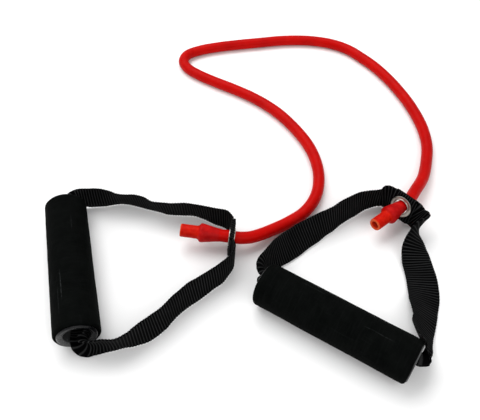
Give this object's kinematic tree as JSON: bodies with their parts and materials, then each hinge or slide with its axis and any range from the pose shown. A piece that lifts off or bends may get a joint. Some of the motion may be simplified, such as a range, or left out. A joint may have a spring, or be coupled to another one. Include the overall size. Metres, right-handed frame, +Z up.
{
  "type": "resistance band",
  "caption": "Exercise band: a hollow red latex tube held by stop plugs in the metal eyelets of webbing handle loops with black foam grips, lying open on a surface.",
  "frame": {"origin": "centre of the two handles' footprint, on the surface the band lies on", "axes": "+X from the left handle to the right handle, +Y from the handles towards the far bend of the tube, +Z up"},
  "size_m": [0.3504, 0.4083, 0.035],
  "materials": {
    "latex": "satin, slightly translucent moulded latex",
    "plug": "plain moulded nylon",
    "webbing": "ribbed flat woven webbing",
    "foam": "matte closed-cell foam",
    "core": "plain",
    "cap": "glossy moulded",
    "metal": "nickel plate, lightly worn"
  },
  "bodies": {
    "tube": {"resistance_tube": "latex", "left_stop_plug": "plug", "right_stop_plug": "plug"},
    "left_eyelet": {"left_eyelet_barrel": "metal", "left_eyelet_washer": "metal"},
    "left_handle": {"left_webbing_strap": "webbing"},
    "left_grip": {"left_foam_grip": "foam", "left_core_tube": "core", "left_end_cap_far": "cap", "left_end_cap_near": "cap"},
    "right_handle": {"right_webbing_strap": "webbing", "right_eyelet_barrel": "metal", "right_eyelet_washer": "metal"},
    "right_grip": {"right_foam_grip": "foam", "right_core_tube": "core", "right_end_cap_left": "cap", "right_end_cap_right": "cap"}
  },
  "joints": [
    {"name": "left_eyelet_slide", "type": "slide", "parent": "tube", "child": "left_eyelet", "axis": [-0.991, 0.089, 0.1], "range_m": [-0.003, 0.01]},
    {"name": "left_handle_swivel", "type": "hinge", "parent": "left_eyelet", "child": "left_handle", "pos_m": [-0.00432, 0.04134, 0.013], "axis": [-0.991, 0.089, 0.1], "continuous": true},
    {"name": "left_grip_spin", "type": "hinge", "parent": "left_handle", "child": "left_grip", "pos_m": [-0.13232, 0.00934, 0.0175], "axis": [0.2351, -0.972, 0], "continuous": true},
    {"name": "right_handle_swivel", "type": "hinge", "parent": "tube", "child": "right_handle", "pos_m": [0.14228, 0.07244, 0.015], "axis": [-0.7696, -0.6357, 0.06], "range_deg": [-125, 150]},
    {"name": "right_grip_spin", "type": "hinge", "parent": "right_handle", "child": "right_grip", "pos_m": [0.07428, -0.03966, 0.0175], "axis": [0.848, -0.5299, 0], "continuous": true}
  ]
}
